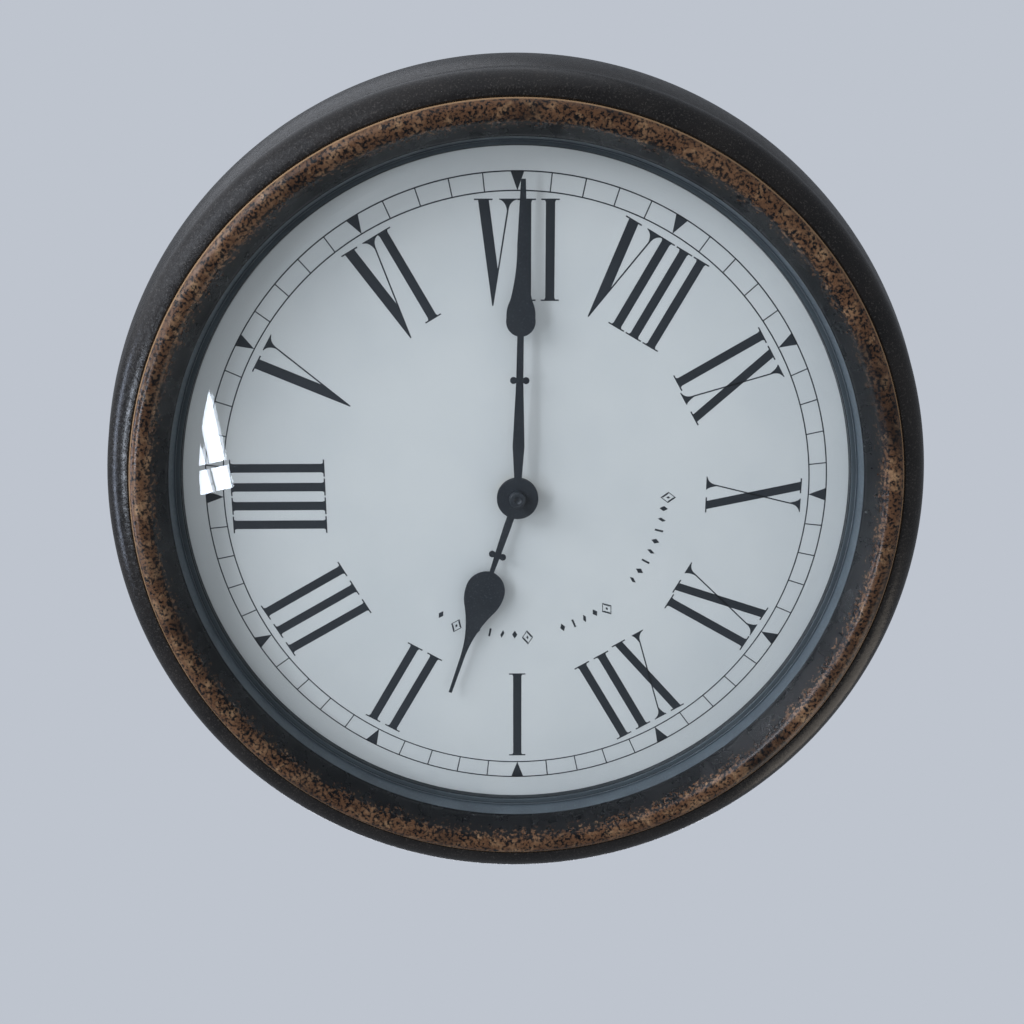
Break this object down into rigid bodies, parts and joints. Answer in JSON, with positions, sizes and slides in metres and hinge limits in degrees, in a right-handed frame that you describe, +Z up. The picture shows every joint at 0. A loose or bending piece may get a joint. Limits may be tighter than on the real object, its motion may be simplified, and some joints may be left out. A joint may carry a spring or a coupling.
{
  "type": "wall clock",
  "caption": "Round wall clock with a domed glass in a turned antique bronze bezel, Roman numeral dial, pear-shaped hands and a quartz movement behind it.",
  "frame": {"origin": "the point on the hands' arbor axis in the plane of the rear rim, where the clock meets the wall", "axes": "+Z up through XII, +X towards III, +Y into the wall; the dial faces -Y"},
  "size_m": [0.3816, 0.07, 0.3816],
  "materials": {
    "case_paint": "satin bronze-black paint on a moulded resin case",
    "bronze_paint": "hand-rubbed antique bronze paint, satin",
    "slate_paint": "satin slate grey paint",
    "clear_glass": "clear slumped glass, polished",
    "black_rubber": "extruded rubber, matte",
    "dial_paint": "satin off-white printed sheet",
    "hardboard": "pressed hardboard, smooth face",
    "board_paint": "fibreboard with black paper face",
    "zinc_steel": "zinc plated",
    "hand_enamel": "satin black enamel",
    "brass": "turned, lightly polished",
    "housing_plastic": "moulded black styrene",
    "gear_plastic": "moulded natural acetal",
    "arbor_plastic": "moulded black acetal",
    "silicon_steel": "stamped sheet",
    "copper_wire": "enamelled copper winding",
    "circuit_green": "solder mask over laminate",
    "epoxy": "cast black epoxy",
    "cell_wrap": "plain printed wrap over a steel can",
    "contact_nickel": "nickel plated spring leaf",
    "knob_plastic": "moulded natural plastic"
  },
  "bodies": {
    "case": {"case_drum": "case_paint", "case_flange": "case_paint", "mounting_ring": "housing_plastic", "spacer_posts": "housing_plastic", "bezel_ring": "bronze_paint", "inner_ring": "slate_paint", "glass_channel": "black_rubber", "dome_glass": "clear_glass", "dial_plate": "dial_paint", "dial_backing": "hardboard", "back_board": "board_paint", "hanger_plate": "zinc_steel", "board_screws": "zinc_steel", "flange_screws": "zinc_steel", "backing_screws": "zinc_steel", "hanger_screws": "zinc_steel", "wall_bumpers": "black_rubber", "movement_housing": "housing_plastic", "movement_lid": "housing_plastic", "rubber_washer": "black_rubber", "nut_washer": "brass", "fixing_nut": "brass", "stator": "silicon_steel", "coil": "copper_wire", "circuit_board": "circuit_green", "quartz_crystal": "contact_nickel", "timing_chip": "epoxy", "contact_minus": "contact_nickel", "contact_plus": "contact_nickel"},
    "minute_body": {"minute_arbor": "arbor_plastic", "minute_hand": "hand_enamel", "cap_nut": "hand_enamel"},
    "hour_body": {"hour_wheel": "arbor_plastic", "hour_hand": "hand_enamel"},
    "minute_wheel_body": {"minute_wheel": "gear_plastic", "setting_knob": "knob_plastic"},
    "rotor_body": {"rotor": "arbor_plastic"},
    "step_body": {"step_wheel": "gear_plastic"},
    "second_body": {"second_wheel": "gear_plastic"},
    "third_body": {"third_wheel": "gear_plastic"},
    "centre_body": {"centre_wheel": "gear_plastic"},
    "battery_body": {"battery": "cell_wrap"}
  },
  "joints": [
    {"name": "minute_hand_turn", "type": "hinge", "parent": "case", "child": "minute_body", "pos_m": [0, -0.04, 0], "axis": [0, 1, 0], "continuous": true},
    {"name": "hour_hand_turn", "type": "hinge", "parent": "case", "child": "hour_body", "pos_m": [0, -0.04, 0], "axis": [0, 1, 0], "continuous": true},
    {"name": "minute_wheel_turn", "type": "hinge", "parent": "case", "child": "minute_wheel_body", "pos_m": [-0.00707, -0.032, 0.00707], "axis": [0, 1, 0], "continuous": true},
    {"name": "rotor_turn", "type": "hinge", "parent": "case", "child": "rotor_body", "pos_m": [-0.00689, -0.03, 0.01708], "axis": [0, 1, 0], "continuous": true},
    {"name": "step_wheel_turn", "type": "hinge", "parent": "case", "child": "step_body", "pos_m": [0.00008, -0.028, 0.01647], "axis": [0, 1, 0], "continuous": true},
    {"name": "second_wheel_turn", "type": "hinge", "parent": "case", "child": "second_body", "pos_m": [0.00632, -0.025, 0.01287], "axis": [0, 1, 0], "continuous": true},
    {"name": "third_wheel_turn", "type": "hinge", "parent": "case", "child": "third_body", "pos_m": [0.00779, -0.027, 0.0045], "axis": [0, 1, 0], "continuous": true},
    {"name": "centre_wheel_turn", "type": "hinge", "parent": "case", "child": "centre_body", "pos_m": [0, -0.029, 0], "axis": [0, 1, 0], "continuous": true},
    {"name": "battery_removal", "type": "slide", "parent": "case", "child": "battery_body", "axis": [0, 1, 0], "range_m": [0, 0.035]}
  ],
  "couplings": [
    {"joint": "hour_hand_turn", "follows": "minute_hand_turn", "ratio": 0.083333},
    {"joint": "minute_wheel_turn", "follows": "minute_hand_turn", "ratio": -0.33333},
    {"joint": "step_wheel_turn", "follows": "rotor_turn", "ratio": -0.16667},
    {"joint": "second_wheel_turn", "follows": "rotor_turn", "ratio": 0.033333},
    {"joint": "third_wheel_turn", "follows": "rotor_turn", "ratio": -0.0044444},
    {"joint": "centre_wheel_turn", "follows": "rotor_turn", "ratio": 0.00055556}
  ]
}
